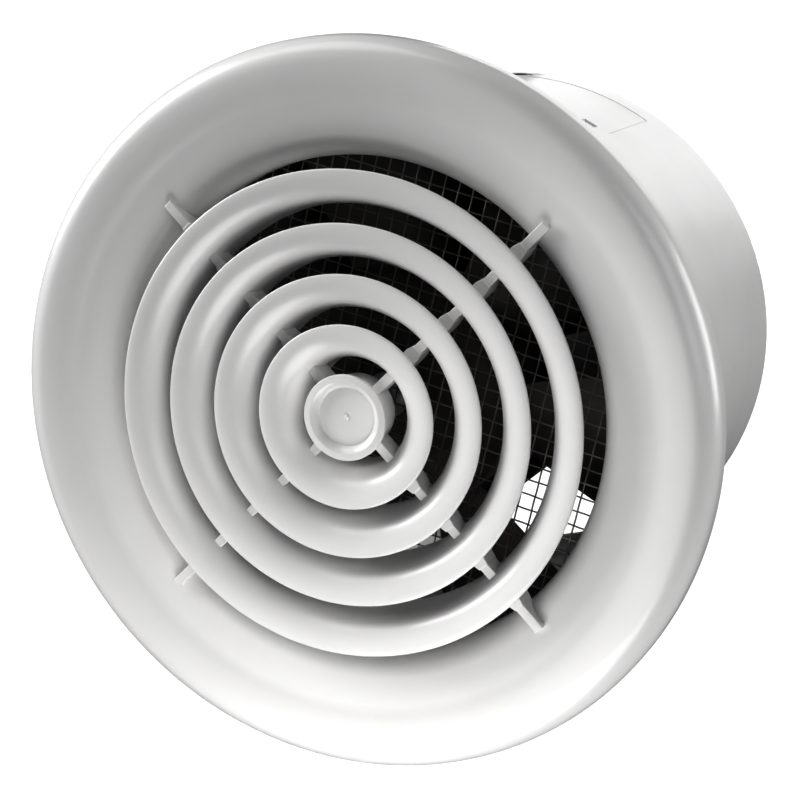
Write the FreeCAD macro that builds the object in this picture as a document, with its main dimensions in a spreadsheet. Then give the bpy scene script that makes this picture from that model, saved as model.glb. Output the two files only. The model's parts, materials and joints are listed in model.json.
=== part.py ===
import FreeCAD, Part
import math
import os
from types import SimpleNamespace

import Sketcher
from FreeCAD import Placement, Rotation, Vector

# A 200 mm in-line bathroom extractor fan with a bell-mouth inlet and a ring grille.
# Every sub-part is drawn looking at the inlet: x to the right, y up, z forward into the room,
# with z = 0 on the wall plane. FRONT turns that drawing frame into the row frame, where
# the air flows along +Y into the wall and +Z is up.
FRONT = Placement(Vector(0, 0, 0), Rotation(Vector(1, 0, 0), 90))

SIZES = {
    # bell mouth: outer roll, dish and throat lip, as radius and height over the wall plane
    "rim_radius": 125, "roll_radius": 8, "roll_height": 4.6, "shell": 2.4,
    "dish_radius": 26, "bend_radius": 106, "bend_height": 10.15,
    "hollow_radius": 14, "shelf_radius": 102.5, "shelf_height": 9.05,
    "lip_radius": 9, "lip_start_radius": 92.85, "lip_start_height": 7.46,
    "lip_centre_radius": 94.4, "lip_centre_height": -1.4, "throat_end": -8,
    "sleeve_radius": 96.7, "sleeve_inner_radius": 94.4, "sleeve_end": -20,
    "hook_width": 12, "hook_reach": 98.6, "hook_front": -14, "hook_back": -18,
    # grille: rings, struts, hub button and legs
    "ring_front": 16, "ring_1_radius": 82.65, "ring_2_radius": 65.0, "ring_3_radius": 48.2,
    "ring_4_radius": 31.4, "ring_land": 0.5, "ring_ridge": 0.2,
    "vane_roll": 12, "vane_wall": 1.5, "vane_draft": 0.7, "vane_back": -6, "strut_back": 2,
    "button_radius": 14.66, "button_ridge_radius": 12.4, "button_floor_radius": 10,
    "button_floor_height": 13.9, "button_wall_radius": 12.6, "button_inner_radius": 11,
    "button_roll": 4.5, "button_rise": 0.35, "nib_radius": 0.9, "nib_height": 0.6,
    "strut_width": 3.4, "strut_front": 10.5, "strut_tip": 95, "strut_start": 11.8,
    "gusset_half_width": 2.6, "gusset_tip_half_width": 1.9, "gusset_reach": 2.3,
    "gusset_root": 8.3, "gusset_front": 10.9,
    "leg_inner": 90.6, "leg_outer": 93.0, "leg_end": -4, "slot_gap": 0.3, "leg_slot_low": 2,
    "seat_gap_strut": 0.35, "seat_start": 85.69, "seat_tip_height": 8.2,
    # insect screen and its retaining ring
    "screen_radius": 92, "screen_open_radius": 90.4, "screen_pitch": 5.08, "screen_wire": 0.6,
    "screen_front": -8.05, "screen_turn": 13.5,
    "keeper_outer": 94.1, "keeper_inner": 86, "keeper_front": -8.7, "keeper_back": -12.2,
    # casing
    "duct_radius": 100, "duct_wall": 3, "duct_end": -171.4, "duct_end_roll": 6,
    "flange_radius": 116, "flange_thickness": 3, "outlet_radius": 91,
    "fixing_circle": 107.5, "fixing_hole": 2.5, "fixing_count": 4, "latch_gap": 0.5,
    "boss_circle": 90.9, "boss_radius": 6.5, "boss_length": 14, "boss_pilot": 1.75,
    # electrical compartment in the crown of the casing
    "window_half_width": 53.7, "window_front": -102, "window_back": -152, "window_gap": 0.3,
    "notch_inner": 44.5, "notch_outer": 49.5, "notch_reach": 4.5,
    "tray_floor": 76, "tray_skin": 2, "tray_front": -96.6, "tray_back": -165, "tray_end_wall": 6,
    "tray_radius": 96.7, "tray_inner_half_width": 51,
    "lid_radius": 99.85, "lid_inner_radius": 97.4, "tongue_depth": 1.5, "tongue_thickness": 0.9,
    "grommet_z": -158.2, "grommet_flange": 5.3, "grommet_neck": 4.2, "grommet_bore": 3.1,
    "grommet_seat": 98.4, "grommet_face": 99.8, "grommet_inner": 94.6, "grommet_lip": 96.6,
    "tray_screw_x": 28, "tray_screw_z": -99.5, "tray_screw_head": 2.6, "tray_screw_shank": 1.4,
    "tray_screw_top": 95.0, "tray_screw_seat": 93.6, "tray_screw_tip": 87,
    # motor bracket
    "bracket_front": -66, "bracket_back": -96, "bracket_ring": 96.6, "bracket_ring_wall": 3,
    "pod_radius": 53, "pod_inner_radius": 50, "plate_thickness": 3, "shaft_window": 14,
    "stay_count": 7, "stay_thickness": 2.2, "stay_turn": 25.4,
    "ear_radius": 5.6, "ear_thickness": 6, "ear_hole": 1.9,
    # motor
    "shell_radius": 48, "shell_wall": 2, "front_shell_front": -69, "shell_split": -97,
    "rear_shell_back": -126, "end_plate": 3, "bearing_boss": 13.5, "shaft_hole": 5.6,
    "core_radius": 45.8, "yoke_inner": 38, "core_front": -86, "core_back": -110,
    "bore_radius": 25.2, "tooth_width": 12, "shoe_width": 24, "shoe_inner": 23, "shoe_outer": 28,
    "bolt_circle": 42.4, "bolt_radius": 1.9, "bolt_hole": 2.15, "bolt_head": 3.3,
    "bolt_head_height": 2.6, "nut_flats": 7, "nut_height": 3.2,
    "coil_inner": 29, "coil_outer": 35.4, "coil_width": 22, "coil_length": 36,
    "coil_window": 12.8, "coil_window_length": 24.8,
    "rotor_radius": 24.7, "rotor_end_ring": 14, "rotor_end_depth": 3,
    "shaft_radius": 4, "shaft_front": -25, "shaft_back": -122.5, "thread_radius": 3, "thread_front": -14,
    # 608 size ball bearings
    "race_outer": 11, "race_shoulder_outer": 9, "race_shoulder_inner": 6, "race_width": 7,
    "groove_radius": 2.06, "groove_edge": 1.41, "ball_radius": 1.96, "ball_circle": 7.5,
    "cage_outer": 8.35, "cage_inner": 6.65, "cage_width": 5.4, "cage_pocket": 2.12, "ball_count": 7,
    "front_bearing_front": -73, "rear_bearing_front": -115, "seat_gap": 0.04,
    # impeller
    "hub_radius": 44, "hub_wall": 2.5, "hub_front": -22, "hub_back": -60, "hub_roll": 6,
    "hub_face": 3, "hub_boss": 9, "hub_boss_back": -56, "blade_count": 7, "blade_tip": 93.4,
    "blade_root_radius": 42.6, "blade_mid_radius": 68, "blade_end_radius": 96, "blade_centre": -42,
    "blade_root_chord": 40, "blade_mid_chord": 62, "blade_end_chord": 78,
    "blade_root_pitch": 42, "blade_mid_pitch": 33, "blade_end_pitch": 27,
    "blade_back_bow": 6.0, "blade_face_bow": 3.4, "blade_start": -12,
    "washer_radius": 8, "washer_thickness": 1.5, "shaft_nut_flats": 10, "shaft_nut_height": 5,
    # fittings in the compartment
    "block_width": 34, "block_length": 12, "block_height": 11, "block_front": -107,
    "block_pitch": 11, "block_screw": 1.5, "block_bore": 1.9,
    "capacitor_width": 38, "capacitor_length": 24, "capacitor_height": 13, "capacitor_front": -123.5,
    "strap_width": 8, "strap_thickness": 1.2, "strap_foot": 7,
    "clamp_front": -149, "clamp_length": 6, "clamp_width": 26, "clamp_height": 3.5,
    "clamp_screw_x": 9.5, "clamp_post": 3, "clamp_post_top": 80.5, "small_screw": 1.4,
    "small_screw_head": 2.6, "small_screw_head_height": 1.8, "small_screw_hole": 1.5,
    "conduit_x": 28, "conduit_z": -116, "conduit_radius": 3.6, "conduit_bore": 2.6, "conduit_hole": 3.8,
    "conduit_foot": 37.6, "conduit_top": 80, "bracket_screw_shank": 1.7, "bracket_screw_head": 2.6,
    "bracket_screw_head_height": 2.6, "bracket_screw_length": 14, "head_slot": 0.8,
    "gasket_inner": 116.8, "gasket_outer": 122.2, "gasket_thickness": 4,
}


class Size:
    """A length that carries both its number and the sheet expression that drives it."""

    def __init__(self, value, text):
        self.value = value
        self.text = text

    @staticmethod
    def of(item):
        return item if isinstance(item, Size) else Size(item, str(item))

    def combine(self, other, sign, value):
        return Size(value, f"({self.text} {sign} {Size.of(other).text})")

    def __add__(self, other):
        return self.combine(other, "+", self.value + Size.of(other).value)

    def __sub__(self, other):
        return self.combine(other, "-", self.value - Size.of(other).value)

    def __mul__(self, other):
        return self.combine(other, "*", self.value * Size.of(other).value)

    def __truediv__(self, other):
        return self.combine(other, "/", self.value / Size.of(other).value)

    def __rsub__(self, other):
        return Size.of(other) - self

    def __neg__(self):
        return Size(-self.value, f"(-{self.text})")

    def root(self):
        return Size(math.sqrt(self.value), f"sqrt({self.text})")


def fill_sheet():
    """Write every driving dimension to the sheet, one aliased row each."""
    for row, (alias, value) in enumerate(SIZES.items(), start=1):
        sheet.set(f"A{row}", alias.replace("_", " "))
        sheet.set(f"B{row}", str(value))
        sheet.setAlias(f"B{row}", alias)


doc = FreeCAD.newDocument("ExtractorFan")
sheet = doc.addObject("Spreadsheet::Sheet", "Dims")
fill_sheet()
doc.recompute()
d = SimpleNamespace(**{alias: Size(float(sheet.get(alias)), f"Dims.{alias}") for alias in SIZES})
sub_parts = []


# ---------------------------------------------------------------- drawing helpers

def new_body(name, turn=0):
    """A body drawn in the inlet frame, turned about the fan axis by turn degrees."""
    body = doc.addObject("PartDesign::Body", name)
    body.Label = name
    body.Placement = FRONT * Placement(Vector(0, 0, 0), Rotation(Vector(0, 0, 1), turn))
    sub_parts.append(body)
    return body


def origin_item(body, role):
    return next(item for item in body.Origin.OriginFeatures if item.Role == role)


def new_sketch(body, name, plane="XZ_Plane", level=0, spin=0):
    """A sketch on one of the body's own planes, raised by level and spun about the normal."""
    sketch = body.newObject("Sketcher::SketchObject", name)
    sketch.AttachmentSupport = [(origin_item(body, plane), "")]
    sketch.MapMode = "FlatFace"
    level = Size.of(level)
    sketch.AttachmentOffset = Placement(Vector(0, 0, level.value), Rotation(Vector(0, 0, 1), spin))
    sketch.setExpression("AttachmentOffset.Base.z", level.text)
    return sketch


def hold_vertex(sketch, edge, vertex, point):
    """Hold one vertex at its distances from the sketch origin."""
    for kind, size in zip(("DistanceX", "DistanceY"), point):
        size = Size.of(size)
        limit = sketch.addConstraint(Sketcher.Constraint(kind, -1, 1, edge, vertex, size.value))
        sketch.setExpression(f"Constraints[{limit}]", size.text)


def hold_radius(sketch, edge, radius):
    limit = sketch.addConstraint(Sketcher.Constraint("Radius", edge, Size.of(radius).value))
    sketch.setExpression(f"Constraints[{limit}]", Size.of(radius).text)


def arc_between(start, end, radius, side):
    """The short arc from start to end, bulging to the left (side 1) or right (side -1)."""
    way = end - start
    left = Vector(-way.y, way.x, 0).normalize()
    centre = (start + end) * 0.5 - left * side * math.sqrt(radius ** 2 - (way.Length / 2) ** 2)
    return Part.Arc(start, centre + left * side * radius, end)


LEFT, RIGHT = 1, -1


def outline(sketch, points, arcs=None):
    """A closed outline; arcs maps the number of a point to the side and radius of the arc after it."""
    arcs = arcs or {}
    vectors = [Vector(Size.of(x).value, Size.of(y).value, 0) for x, y in points]
    edges = []
    for index, start in enumerate(vectors):
        end = vectors[(index + 1) % len(vectors)]
        if index in arcs:
            side, radius = arcs[index]
            edge = sketch.addGeometry(arc_between(start, end, Size.of(radius).value, side), False)
            first = 1 if sketch.getPoint(edge, 1).distanceToPoint(start) < 1e-6 else 2
            edges.append((edge, first, 3 - first))
            hold_radius(sketch, edge, radius)
        else:
            edges.append((sketch.addGeometry(Part.LineSegment(start, end), False), 1, 2))
    for (edge, first, last), point, (next_edge, next_first, _) in zip(edges, points, edges[1:] + edges[:1]):
        hold_vertex(sketch, edge, first, point)
        sketch.addConstraint(Sketcher.Constraint("Coincident", edge, last, next_edge, next_first))


def circle(sketch, x, y, radius):
    centre = Vector(Size.of(x).value, Size.of(y).value, 0)
    edge = sketch.addGeometry(Part.Circle(centre, Vector(0, 0, 1), Size.of(radius).value), False)
    hold_vertex(sketch, edge, 3, (x, y))
    hold_radius(sketch, edge, radius)


def rectangle(sketch, x_low, x_high, y_low, y_high):
    outline(sketch, [(x_low, y_low), (x_high, y_low), (x_high, y_high), (x_low, y_high)])


def turned(body, name, points, arcs=None, cut=False):
    """A full turn about the fan axis of an outline given as radius and height."""
    sketch = new_sketch(body, name + "Outline")
    outline(sketch, points, arcs)
    feature = body.newObject("PartDesign::Groove" if cut else "PartDesign::Revolution", name)
    feature.Profile = sketch
    feature.ReferenceAxis = (sketch, ["V_Axis"])
    feature.Angle = 360
    return feature


def extruded(body, name, sketch, length, kind="Pad", reverse=False, both_ways=False):
    """A pad or pocket of the sketch by a length from the sheet."""
    feature = body.newObject(f"PartDesign::{kind}", name)
    feature.Profile = sketch
    feature.Length = Size.of(length).value
    feature.setExpression("Length", Size.of(length).text)
    feature.Reversed = reverse
    feature.Midplane = both_ways
    return feature


def layer(body, name, z_low, z_high, draw, spin=0):
    """A pad between two heights, its outline drawn by draw on the XY plane."""
    sketch = new_sketch(body, name + "Outline", "XY_Plane", z_low, spin)
    draw(sketch)
    return extruded(body, name, sketch, Size.of(z_high) - z_low)


def layer_cut(body, name, z_low, z_high, draw, spin=0):
    """A pocket between two heights: its sketch lies at the top and the cut goes down."""
    sketch = new_sketch(body, name + "Outline", "XY_Plane", z_high, spin)
    draw(sketch)
    return extruded(body, name, sketch, Size.of(z_high) - z_low, "Pocket")


def crown_cut(body, name, y_low, y_high, places, radius):
    """Round holes bored along y between two levels; places are x and z of their axes."""
    sketch = new_sketch(body, name + "Outline", "XZ_Plane", -Size.of(y_low))
    for x, z in places:
        circle(sketch, x, z, radius)
    return extruded(body, name, sketch, Size.of(y_high) - y_low, "Pocket")


def ringed(body, features, count, name):
    """Repeat features evenly about the fan axis."""
    pattern = body.newObject("PartDesign::PolarPattern", name)
    pattern.Originals = features
    pattern.Axis = (origin_item(body, "Z_Axis"), [""])
    pattern.Angle = 360
    pattern.Occurrences = int(Size.of(count).value)
    pattern.setExpression("Occurrences", Size.of(count).text)
    body.Tip = pattern
    return pattern


def primitive(kind, name, position=(0, 0, 0), rotation=None, **sizes):
    """A Part primitive whose sizes and position follow the sheet."""
    item = doc.addObject(f"Part::{kind}", name)
    for prop, size in sizes.items():
        setattr(item, prop, Size.of(size).value)
        item.setExpression(prop, Size.of(size).text)
    return moved(item, position, rotation)


def moved(item, position, rotation=None):
    """Put an item at a position that follows the sheet."""
    item.Placement = Placement(Vector(0, 0, 0), rotation or Rotation())
    for axis, size in zip("xyz", position):
        item.setExpression(f"Placement.Base.{axis}", Size.of(size).text)
    return item


def fused(name, members):
    item = doc.addObject("Part::MultiFuse", name)
    item.Shapes = members
    return item


def cut(name, base, tool):
    item = doc.addObject("Part::Cut", name)
    item.Base = base
    item.Tool = tool
    return item


def tube(name, z_low, z_high, inner, outer, position=(0, 0), rotation=None):
    """A plain ring between two heights."""
    height = Size.of(z_high) - z_low
    wall = primitive("Cylinder", name + "Wall", Radius=outer, Height=height)
    bore = primitive("Cylinder", name + "Bore", Radius=inner, Height=height)
    return moved(cut(name, wall, bore), (*position, z_low), rotation)


def node(name, *members):
    """Make one node of the assembly from one solid or from several separate ones."""
    item = doc.addObject("Part::Compound", name)
    item.Links = members
    item.Placement = FRONT
    sub_parts.append(item)
    return item


def screw(name, position, shank, head, head_height, length, rotation=None):
    """A slotted pan-head screw, drawn head up and then turned to its rotation."""
    stem = primitive("Cylinder", name + "Stem", (0, 0, -length), Radius=shank, Height=length)
    cap = primitive("Cylinder", name + "Cap", Radius=head, Height=head_height)
    slot = primitive("Box", name + "Slot", (-head, -d.head_slot / 2, head_height / 2),
                     Length=head * 2, Width=d.head_slot, Height=head_height)
    return moved(cut(name, fused(name + "Solid", [stem, cap]), slot), position, rotation)


def nut(name, x, y, z_low, flats, bore, height):
    """A plain hexagon nut."""
    hexagon = primitive("Prism", name + "Hexagon", Circumradius=flats / math.sqrt(3), Height=height)
    hole = primitive("Cylinder", name + "Bore", Radius=bore, Height=height)
    return moved(cut(name, hexagon, hole), (x, y, z_low))


def around(radius, count, first=0):
    """x and y of count places on a circle, the first at an angle in degrees."""
    angles = [math.radians(first + 360 * index / count) for index in range(count)]
    return [(radius * round(math.cos(angle), 9), radius * round(math.sin(angle), 9)) for angle in angles]


UPWARD = Rotation(Vector(1, 0, 0), -90)      # drawn z becomes y
BACK_TO_FRONT = Rotation(Vector(1, 0, 0), 180)


# ---------------------------------------------------------------- inlet

def bell_mouth():
    body = new_body("bell_mouth")
    crest_radius = d.rim_radius - d.roll_radius
    crest_height = d.roll_height + d.roll_radius
    throat = d.lip_centre_radius - d.lip_radius
    points = [
        (d.rim_radius, 0), (d.rim_radius, d.roll_height), (crest_radius, crest_height),
        (d.bend_radius, d.bend_height), (d.shelf_radius, d.shelf_height),
        (d.lip_start_radius, d.lip_start_height), (throat, d.lip_centre_height),
        (throat, d.throat_end), (throat + d.shell, d.throat_end), (throat + d.shell, d.lip_centre_height),
        (d.sleeve_inner_radius, d.lip_centre_height + d.lip_radius - d.shell),
        (d.sleeve_inner_radius, d.sleeve_end), (d.sleeve_radius, d.sleeve_end),
        (d.sleeve_radius, d.shelf_height - d.shell * 1.4), (d.shelf_radius, d.shelf_height - d.shell),
        (d.bend_radius + d.shell * 0.4, d.bend_height - d.shell * 0.9),
        (crest_radius, crest_height - d.shell), (d.rim_radius - d.shell, d.roll_height),
        (d.rim_radius - d.shell, 0),
    ]
    arcs = {
        1: (RIGHT, d.roll_radius), 2: (RIGHT, d.dish_radius), 3: (LEFT, d.hollow_radius),
        5: (RIGHT, d.lip_radius), 9: (LEFT, d.lip_radius - d.shell), 16: (LEFT, d.roll_radius - d.shell),
    }
    turned(body, "Shell", points, arcs)
    hook = layer(body, "Hook", d.hook_back, d.hook_front, lambda sketch: rectangle(
        sketch, d.sleeve_inner_radius + 1, d.hook_reach, -d.hook_width / 2, d.hook_width / 2))
    ringed(body, [hook], 4, "Hooks")
    half = d.strut_width / 2 + d.slot_gap
    slot = layer_cut(body, "LegSlot", d.leg_slot_low, d.roll_height + d.roll_radius, lambda sketch: rectangle(
        sketch, d.leg_inner - d.slot_gap, d.leg_outer + d.slot_gap, -half, half), spin=45)
    ringed(body, [slot], 4, "LegSlots")


def ring_grille():
    """Four bell-shaped rings and a centre button on four struts that stand at 45 degrees."""
    body = new_body("ring_grille", turn=45)
    front, ridge = d.ring_front, d.ring_front + d.ring_ridge
    button_ridge, under = front + d.button_rise, d.button_floor_height - d.vane_wall
    turned(body, "Button", [
        (0, d.button_floor_height), (d.button_floor_radius, d.button_floor_height),
        (d.button_ridge_radius, button_ridge), (d.button_radius, front),
        (d.button_radius, front - d.vane_wall), (d.button_wall_radius, under),
        (d.button_wall_radius, d.strut_back), (d.button_inner_radius, d.strut_back),
        (d.button_inner_radius, under), (0, under),
    ], {1: (LEFT, d.button_roll)})
    turned(body, "Nib", [
        (0, d.button_floor_height - 1), (d.nib_radius, d.button_floor_height - 1),
        (d.nib_radius, d.button_floor_height + d.nib_height / 2), (0, d.button_floor_height + d.nib_height),
    ])
    strut_sketch = new_sketch(body, "StrutOutline")
    outline(strut_sketch, [
        (d.strut_start, d.strut_back), (d.seat_start, d.strut_back),
        (d.lip_start_radius, d.lip_start_height + d.seat_gap_strut), (d.strut_tip, d.seat_tip_height),
        (d.strut_tip, d.strut_front), (d.strut_start, d.strut_front),
    ], {1: (LEFT, d.lip_radius + d.seat_gap_strut)})
    spokes = [extruded(body, "Strut", strut_sketch, d.strut_width, both_ways=True)]
    spokes.append(layer(body, "Leg", d.leg_end, d.strut_front - 1, lambda sketch: rectangle(
        sketch, d.leg_inner, d.leg_outer, -d.strut_width / 2, d.strut_width / 2)))
    rings = [d.ring_1_radius, d.ring_2_radius, d.ring_3_radius, d.ring_4_radius]
    for number, radius in enumerate(rings, start=1):
        root, tip, bend = radius - d.gusset_root, radius + d.gusset_reach, radius - d.ring_land
        wide, narrow = d.gusset_half_width, d.gusset_tip_half_width
        gusset = [(root, -wide), (bend, -wide), (tip, -narrow), (tip, narrow), (bend, wide), (root, wide)]
        spokes.append(layer(body, f"Gusset{number}", d.strut_back, d.gusset_front,
                            lambda sketch: outline(sketch, gusset)))
    ringed(body, spokes, 4, "Spokes")
    for number, radius in enumerate(rings, start=1):
        throat = radius - d.ring_land - d.vane_roll
        knee = ridge - d.vane_roll
        turned(body, f"Ring{number}", [
            (radius, front), (radius - d.ring_land, ridge), (throat, knee),
            (throat - d.vane_draft, d.vane_back), (throat - d.vane_draft + d.vane_wall, d.vane_back),
            (throat + d.vane_wall, knee),
            (radius - d.ring_land, ridge - d.vane_wall), (radius, ridge - d.vane_wall),
        ], {1: (RIGHT, d.vane_roll), 5: (LEFT, d.vane_roll - d.vane_wall)})


def insect_screen():
    """A flat wire grid cut to a disc; square openings that lie wholly inside the open circle."""
    pitch, wire, turn = d.screen_pitch.value, d.screen_wire.value, math.radians(d.screen_turn.value)
    front = d.screen_front.value
    reach = int(d.screen_open_radius.value // pitch) + 1
    half = (pitch - wire) / 2
    holes = []
    for column in range(-reach, reach + 1):
        for row in range(-reach, reach + 1):
            corners = [(column * pitch + u * half, row * pitch + v * half)
                       for u, v in ((-1, -1), (1, -1), (1, 1), (-1, 1))]
            if max(math.hypot(x, y) for x, y in corners) < d.screen_open_radius.value:
                turned_corners = [Vector(x * math.cos(turn) - y * math.sin(turn),
                                         x * math.sin(turn) + y * math.cos(turn), front) for x, y in corners]
                holes.append(Part.makePolygon(turned_corners + turned_corners[:1]))
    rim = Part.Wire(Part.makeCircle(d.screen_radius.value, Vector(0, 0, front)))
    face = Part.Face([rim] + holes)
    face.validate()
    screen = doc.addObject("Part::Feature", "insect_screen")
    screen.Shape = face.extrude(Vector(0, 0, -wire))
    screen.Placement = FRONT
    sub_parts.append(screen)


def inlet_rings():
    node("screen_keeper", tube("KeeperRing", d.keeper_back, d.keeper_front, d.keeper_inner, d.keeper_outer))
    node("rim_gasket", tube("GasketRing", 0, d.gasket_thickness, d.gasket_inner, d.gasket_outer))


# ---------------------------------------------------------------- casing

def duct_casing():
    body = new_body("duct_casing")
    inner = d.duct_radius - d.duct_wall
    roll_start = d.duct_end + d.duct_end_roll
    turned(body, "Barrel", [
        (inner, d.flange_thickness), (d.flange_radius, d.flange_thickness), (d.flange_radius, 0),
        (d.duct_radius, 0), (d.duct_radius, roll_start), (d.duct_radius - d.duct_end_roll, d.duct_end),
        (d.outlet_radius, d.duct_end), (d.outlet_radius, d.duct_end + d.duct_wall),
        (d.duct_radius - d.duct_end_roll, d.duct_end + d.duct_wall), (inner, roll_start),
    ], {4: (LEFT, d.duct_end_roll), 8: (RIGHT, d.duct_end_roll - d.duct_wall)})
    boss = layer(body, "Boss", d.bracket_back - d.boss_length, d.bracket_back,
                 lambda sketch: circle(sketch, 0, -d.boss_circle, d.boss_radius))
    ringed(body, [boss], 3, "Bosses")
    pilot = layer_cut(body, "Pilot", d.bracket_back - d.boss_length, d.bracket_back,
                      lambda sketch: circle(sketch, 0, -d.boss_circle, d.boss_pilot))
    ringed(body, [pilot], 3, "Pilots")
    fixing = layer_cut(body, "Fixing", 0, d.flange_thickness,
                       lambda sketch: circle(sketch, d.fixing_circle, 0, d.fixing_hole))
    ringed(body, [fixing], d.fixing_count, "Fixings")
    latch_half = d.hook_width / 2 + d.latch_gap
    latch = layer_cut(body, "Latch", d.hook_back - d.latch_gap, d.hook_front + d.latch_gap,
                      lambda sketch: rectangle(sketch, inner - 2, d.duct_radius + 1, -latch_half, latch_half))
    ringed(body, [latch], 4, "Latches")
    low = d.tray_floor + d.tray_skin
    layer_cut(body, "Window", d.window_back, d.window_front, lambda sketch: rectangle(
        sketch, -d.window_half_width, d.window_half_width, low, d.duct_radius + 1))

    def notches(sketch):
        rectangle(sketch, d.notch_inner, d.notch_outer, low, d.duct_radius + 1)
        rectangle(sketch, -d.notch_outer, -d.notch_inner, low, d.duct_radius + 1)

    layer_cut(body, "Notches", d.window_front - 1, d.window_front + d.notch_reach, notches)
    outside = d.duct_radius + 1
    crown_cut(body, "CableHole", low, outside, [(0, d.grommet_z)], d.grommet_neck + 0.1)
    crown_cut(body, "CableSeat", d.grommet_seat, outside, [(0, d.grommet_z)], d.grommet_flange + 0.2)
    crown_cut(body, "TrayHoles", low, outside, tray_screw_places(), d.tray_screw_shank + 0.2)
    crown_cut(body, "TrayHeadSeats", d.tray_screw_seat - 0.1, outside, tray_screw_places(),
              d.tray_screw_head + 0.2)


def tray_screw_places():
    return [(d.tray_screw_x, d.tray_screw_z), (-d.tray_screw_x, d.tray_screw_z)]


def motor_bracket():
    """A cup that the motor bolts into, seven stays and an outer ring with three screw ears."""
    body = new_body("motor_bracket")
    front, back = d.bracket_front, d.bracket_back
    turned(body, "Cup", [
        (d.shaft_window, front), (d.pod_radius, front), (d.pod_radius, back), (d.pod_inner_radius, back),
        (d.pod_inner_radius, front - d.plate_thickness), (d.shaft_window, front - d.plate_thickness)])
    stay = layer(body, "Stay", back, front, lambda sketch: rectangle(
        sketch, d.pod_radius - 1, d.bracket_ring - 1, -d.stay_thickness / 2, d.stay_thickness / 2),
        spin=d.stay_turn.value)
    ringed(body, [stay], d.stay_count, "Stays")
    turned(body, "Ring", [
        (d.bracket_ring - d.bracket_ring_wall, back), (d.bracket_ring, back),
        (d.bracket_ring, front), (d.bracket_ring - d.bracket_ring_wall, front)])
    ear = layer(body, "Ear", back, back + d.ear_thickness,
                lambda sketch: circle(sketch, 0, -d.boss_circle, d.ear_radius))
    ringed(body, [ear], 3, "Ears")
    ear_hole = layer_cut(body, "EarHole", back, back + d.ear_thickness,
                         lambda sketch: circle(sketch, 0, -d.boss_circle, d.ear_hole))
    ringed(body, [ear_hole], 3, "EarHoles")
    bolt_holes(body, front - d.plate_thickness, front)


def bolt_holes(body, z_low, z_high):
    """Four clearance holes for the motor's through bolts, midway between the stator teeth."""
    hole = layer_cut(body, "BoltHole", z_low, z_high,
                     lambda sketch: circle(sketch, d.bolt_circle, 0, d.bolt_hole), spin=45)
    ringed(body, [hole], 4, "BoltHoles")


# ---------------------------------------------------------------- motor

def motor_shells():
    seat = d.race_outer + d.seat_gap
    front = new_body("motor_front_shell")
    face, split = d.front_shell_front, d.shell_split
    inner = d.shell_radius - d.shell_wall
    turned(front, "Can", [
        (d.shell_radius, face), (d.shell_radius, split), (inner, split), (inner, face - d.end_plate),
        (d.bearing_boss, face - d.end_plate), (d.bearing_boss, d.front_bearing_front - d.race_width),
        (seat, d.front_bearing_front - d.race_width), (seat, d.front_bearing_front),
        (d.shaft_hole, d.front_bearing_front), (d.shaft_hole, face)])
    bolt_holes(front, face - d.end_plate, face)
    rear = new_body("motor_rear_shell")
    back = d.rear_shell_back
    turned(rear, "Can", [
        (d.shell_radius, split), (d.shell_radius, back), (0, back), (0, back + d.end_plate),
        (seat, back + d.end_plate), (seat, d.rear_bearing_front), (d.bearing_boss, d.rear_bearing_front),
        (d.bearing_boss, back + d.end_plate), (inner, back + d.end_plate), (inner, split)])
    bolt_holes(rear, back, back + d.end_plate)
    crown_cut(rear, "LeadHole", 20, d.shell_radius + 1, [(d.conduit_x, d.conduit_z)], d.conduit_hole)


def stator_core():
    body = new_body("stator_core")

    def yoke(sketch):
        circle(sketch, 0, 0, d.core_radius)
        circle(sketch, 0, 0, d.yoke_inner)

    layer(body, "Yoke", d.core_back, d.core_front, yoke)
    tooth = layer(body, "Tooth", d.core_back, d.core_front, lambda sketch: rectangle(
        sketch, d.shoe_inner, d.yoke_inner + 1, -d.tooth_width / 2, d.tooth_width / 2))
    shoe = layer(body, "Shoe", d.core_back, d.core_front, lambda sketch: rectangle(
        sketch, d.shoe_inner, d.shoe_outer, -d.shoe_width / 2, d.shoe_width / 2))
    ringed(body, [tooth, shoe], 4, "Poles")
    layer_cut(body, "Bore", d.core_back, d.core_front, lambda sketch: circle(sketch, 0, 0, d.bore_radius))
    bolt_holes(body, d.core_back, d.core_front)


def stator_coils():
    middle = (d.core_front + d.core_back) / 2
    coils = []
    depth = d.coil_outer - d.coil_inner
    for number in range(4):
        winding, window = [
            primitive("Box", f"{name}{number}", (d.coil_inner, -width / 2, middle - length / 2),
                      Length=depth, Width=width, Height=length)
            for name, width, length in (("Winding", d.coil_width, d.coil_length),
                                        ("Window", d.coil_window, d.coil_window_length))]
        coil = cut(f"Coil{number}", winding, window)
        coil.Placement = Placement(Vector(0, 0, 0), Rotation(Vector(0, 0, 1), 90 * number))
        coils.append(coil)
    node("stator_coils", *coils)


def rotor():
    core = new_body("rotor_core")
    bore = d.shaft_radius + d.seat_gap
    ring_outer = d.rotor_radius - 0.7
    turned(core, "Cage", [
        (bore, d.core_front), (d.rotor_end_ring, d.core_front),
        (d.rotor_end_ring, d.core_front + d.rotor_end_depth),
        (ring_outer, d.core_front + d.rotor_end_depth), (ring_outer, d.core_front),
        (d.rotor_radius, d.core_front), (d.rotor_radius, d.core_back), (ring_outer, d.core_back),
        (ring_outer, d.core_back - d.rotor_end_depth), (d.rotor_end_ring, d.core_back - d.rotor_end_depth),
        (d.rotor_end_ring, d.core_back), (bore, d.core_back)])
    shaft = new_body("motor_shaft")
    turned(shaft, "Spindle", [
        (0, d.thread_front), (d.thread_radius, d.thread_front), (d.thread_radius, d.shaft_front),
        (d.shaft_radius, d.shaft_front), (d.shaft_radius, d.shaft_back), (0, d.shaft_back)])


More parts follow.
